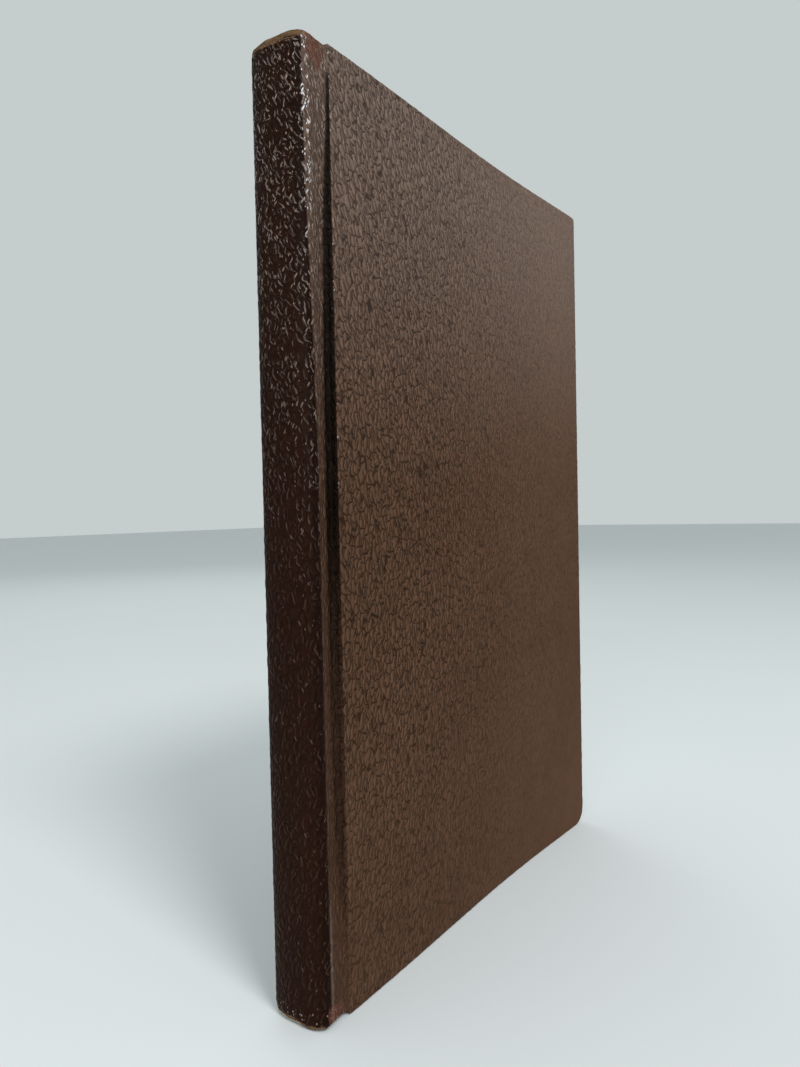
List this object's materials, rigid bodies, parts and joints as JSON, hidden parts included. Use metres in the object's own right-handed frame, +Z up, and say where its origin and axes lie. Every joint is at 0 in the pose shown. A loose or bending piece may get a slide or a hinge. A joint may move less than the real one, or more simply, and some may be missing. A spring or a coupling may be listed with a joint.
{
  "type": "hardcover prayer book",
  "caption": "Hardcover book in grained brown leathercloth: sewn sections in a hollow-back case, each cover hinged at its shoulder, the leaves fanning behind it.",
  "frame": {"origin": "centre of the closed book's footprint, at its tail edge", "axes": "+Z up the spine from tail to head; +X from the spine to the fore-edge; +Y from the front cover to the back cover"},
  "size_m": [0.127, 0.014, 0.19],
  "materials": {
    "leathercloth": "grained, semi-matte",
    "greyboard": "matte",
    "spine_card": "matte",
    "endpaper": "matte",
    "page_paper": "matte",
    "kraft": "matte",
    "mull": "open weave",
    "linen_thread": "twisted",
    "headband": "worked"
  },
  "bodies": {
    "spine": {"spine_leather": "leathercloth", "spine_inlay": "spine_card", "back_lining": "kraft", "mull": "mull", "sewing_thread": "linen_thread", "headband": "headband", "tailband": "headband"},
    "front_cover": {"front_cover_leather": "leathercloth", "front_board": "greyboard", "front_pastedown": "endpaper"},
    "back_cover": {"back_cover_leather": "leathercloth", "back_board": "greyboard", "back_pastedown": "endpaper"},
    "front_flyleaf": {"front_flyleaf": "endpaper"},
    "back_flyleaf": {"back_flyleaf": "endpaper"},
    "section_01": {"section_01": "page_paper"},
    "section_02": {"section_02": "page_paper"},
    "section_03": {"section_03": "page_paper"},
    "section_04": {"section_04": "page_paper"},
    "section_05": {"section_05": "page_paper"},
    "section_06": {"section_06": "page_paper"},
    "section_07": {"section_07": "page_paper"},
    "section_08": {"section_08": "page_paper"}
  },
  "joints": [
    {"name": "front_cover_hinge", "type": "hinge", "parent": "spine", "child": "front_cover", "pos_m": [-0.06082, -0.00715, 0], "axis": [0, 0, -1], "range_deg": [0, 180]},
    {"name": "front_flyleaf_turn", "type": "hinge", "parent": "spine", "child": "front_flyleaf", "pos_m": [-0.06013, -0.00364, 0], "axis": [0, 0, -1], "range_deg": [0, 100]},
    {"name": "section_01_turn", "type": "hinge", "parent": "front_flyleaf", "child": "section_01", "pos_m": [-0.05983, -0.00306, 0], "axis": [0, 0, -1], "range_deg": [-18.5, 0]},
    {"name": "section_02_turn", "type": "hinge", "parent": "section_01", "child": "section_02", "pos_m": [-0.05983, -0.00219, 0], "axis": [0, 0, -1], "range_deg": [-18.5, 0]},
    {"name": "section_03_turn", "type": "hinge", "parent": "section_02", "child": "section_03", "pos_m": [-0.05983, -0.00131, 0], "axis": [0, 0, -1], "range_deg": [-18.5, 0]},
    {"name": "section_04_turn", "type": "hinge", "parent": "section_03", "child": "section_04", "pos_m": [-0.05983, -0.00044, 0], "axis": [0, 0, -1], "range_deg": [-18.5, 0]},
    {"name": "back_cover_hinge", "type": "hinge", "parent": "spine", "child": "back_cover", "pos_m": [-0.06082, 0.00715, 0], "axis": [0, 0, 1], "range_deg": [0, 180]},
    {"name": "back_flyleaf_turn", "type": "hinge", "parent": "spine", "child": "back_flyleaf", "pos_m": [-0.06013, 0.00364, 0], "axis": [0, 0, 1], "range_deg": [0, 100]},
    {"name": "section_08_turn", "type": "hinge", "parent": "back_flyleaf", "child": "section_08", "pos_m": [-0.05983, 0.00306, 0], "axis": [0, 0, 1], "range_deg": [-18.5, 0]},
    {"name": "section_07_turn", "type": "hinge", "parent": "section_08", "child": "section_07", "pos_m": [-0.05983, 0.00219, 0], "axis": [0, 0, 1], "range_deg": [-18.5, 0]},
    {"name": "section_06_turn", "type": "hinge", "parent": "section_07", "child": "section_06", "pos_m": [-0.05983, 0.00131, 0], "axis": [0, 0, 1], "range_deg": [-18.5, 0]},
    {"name": "section_05_turn", "type": "hinge", "parent": "section_06", "child": "section_05", "pos_m": [-0.05983, 0.00044, 0], "axis": [0, 0, 1], "range_deg": [-18.5, 0]}
  ],
  "couplings": [
    {"joint": "front_flyleaf_turn", "follows": "front_cover_hinge", "ratio": 0.53},
    {"joint": "section_01_turn", "follows": "front_cover_hinge", "ratio": -0.1},
    {"joint": "section_02_turn", "follows": "front_cover_hinge", "ratio": -0.1},
    {"joint": "section_03_turn", "follows": "front_cover_hinge", "ratio": -0.1},
    {"joint": "section_04_turn", "follows": "front_cover_hinge", "ratio": -0.1},
    {"joint": "back_flyleaf_turn", "follows": "back_cover_hinge", "ratio": 0.53},
    {"joint": "section_08_turn", "follows": "back_cover_hinge", "ratio": -0.1},
    {"joint": "section_07_turn", "follows": "back_cover_hinge", "ratio": -0.1},
    {"joint": "section_06_turn", "follows": "back_cover_hinge", "ratio": -0.1},
    {"joint": "section_05_turn", "follows": "back_cover_hinge", "ratio": -0.1}
  ]
}
